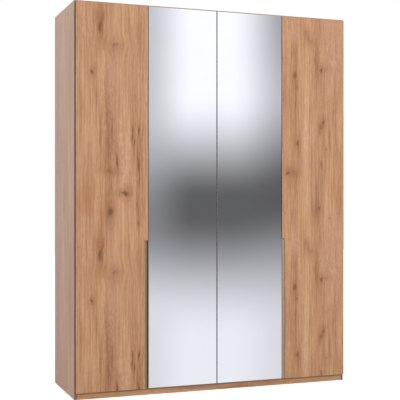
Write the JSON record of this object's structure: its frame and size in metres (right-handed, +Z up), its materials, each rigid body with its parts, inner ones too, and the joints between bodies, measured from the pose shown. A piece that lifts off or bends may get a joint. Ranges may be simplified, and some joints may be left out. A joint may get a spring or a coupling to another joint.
{
  "type": "hinged door wardrobe",
  "caption": "Tall free-standing wardrobe with hinged oak and full-height mirror doors, recessed finger grips, a low plinth, hanging rails and hat shelves.",
  "frame": {"origin": "middle of the footprint on the floor, with the doors closed", "axes": "+Z up, the doors face -Y, +X to the right as seen from the front"},
  "size_m": [1.79, 0.59, 2.36],
  "materials": {
    "oak_decor": "warm plank oak decor with knots, satin",
    "interior_decor": "light linen decor, matt",
    "hardboard": "printed light hardboard, matt",
    "mirror_glass": "silvered, polished edge",
    "grip_metal": "bronze anodised, satin",
    "hinge_steel": "nickel plated",
    "rail_metal": "bright plated tube",
    "socket_plastic": "grey moulded plastic"
  },
  "bodies": {
    "carcass": {"left_side_panel": "oak_decor", "right_side_panel": "oak_decor", "centre_partition": "oak_decor", "left_top_panel": "oak_decor", "right_top_panel": "oak_decor", "left_bottom_panel": "interior_decor", "right_bottom_panel": "interior_decor", "front_plinth": "oak_decor", "left_rear_plinth": "interior_decor", "right_rear_plinth": "interior_decor", "left_back_panel": "hardboard", "right_back_panel": "hardboard", "left_hat_shelf": "interior_decor", "right_hat_shelf": "interior_decor", "left_clothes_rail": "rail_metal", "right_clothes_rail": "rail_metal", "rail_socket_1": "socket_plastic", "rail_socket_2": "socket_plastic", "rail_socket_3": "socket_plastic", "rail_socket_4": "socket_plastic", "door_1_hinge_arm_1": "hinge_steel", "door_1_hinge_arm_2": "hinge_steel", "door_1_hinge_arm_3": "hinge_steel", "door_1_hinge_arm_4": "hinge_steel", "door_2_hinge_arm_1": "hinge_steel", "door_2_hinge_arm_2": "hinge_steel", "door_2_hinge_arm_3": "hinge_steel", "door_2_hinge_arm_4": "hinge_steel", "door_3_hinge_arm_1": "hinge_steel", "door_3_hinge_arm_2": "hinge_steel", "door_3_hinge_arm_3": "hinge_steel", "door_3_hinge_arm_4": "hinge_steel", "door_4_hinge_arm_1": "hinge_steel", "door_4_hinge_arm_2": "hinge_steel", "door_4_hinge_arm_3": "hinge_steel", "door_4_hinge_arm_4": "hinge_steel"},
    "door_1": {"door_1_panel": "oak_decor", "door_1_grip": "grip_metal", "door_1_hinge_cup_1": "hinge_steel", "door_1_hinge_cup_2": "hinge_steel", "door_1_hinge_cup_3": "hinge_steel", "door_1_hinge_cup_4": "hinge_steel"},
    "door_2": {"door_2_carrier": "oak_decor", "door_2_mirror": "mirror_glass", "door_2_hinge_cup_1": "hinge_steel", "door_2_hinge_cup_2": "hinge_steel", "door_2_hinge_cup_3": "hinge_steel", "door_2_hinge_cup_4": "hinge_steel"},
    "door_3": {"door_3_carrier": "oak_decor", "door_3_mirror": "mirror_glass", "door_3_hinge_cup_1": "hinge_steel", "door_3_hinge_cup_2": "hinge_steel", "door_3_hinge_cup_3": "hinge_steel", "door_3_hinge_cup_4": "hinge_steel"},
    "door_4": {"door_4_panel": "oak_decor", "door_4_grip": "grip_metal", "door_4_hinge_cup_1": "hinge_steel", "door_4_hinge_cup_2": "hinge_steel", "door_4_hinge_cup_3": "hinge_steel", "door_4_hinge_cup_4": "hinge_steel"}
  },
  "joints": [
    {"name": "door_1_hinge", "type": "hinge", "parent": "carcass", "child": "door_1", "pos_m": [-0.8845, -0.2915, 1.195], "axis": [0, 0, -1], "range_deg": [0, 105]},
    {"name": "door_2_hinge", "type": "hinge", "parent": "carcass", "child": "door_2", "pos_m": [-0.0065, -0.2915, 1.195], "axis": [0, 0, 1], "range_deg": [0, 90]},
    {"name": "door_3_hinge", "type": "hinge", "parent": "carcass", "child": "door_3", "pos_m": [0.0065, -0.2915, 1.195], "axis": [0, 0, -1], "range_deg": [0, 90]},
    {"name": "door_4_hinge", "type": "hinge", "parent": "carcass", "child": "door_4", "pos_m": [0.8845, -0.2915, 1.195], "axis": [0, 0, 1], "range_deg": [0, 105]}
  ]
}
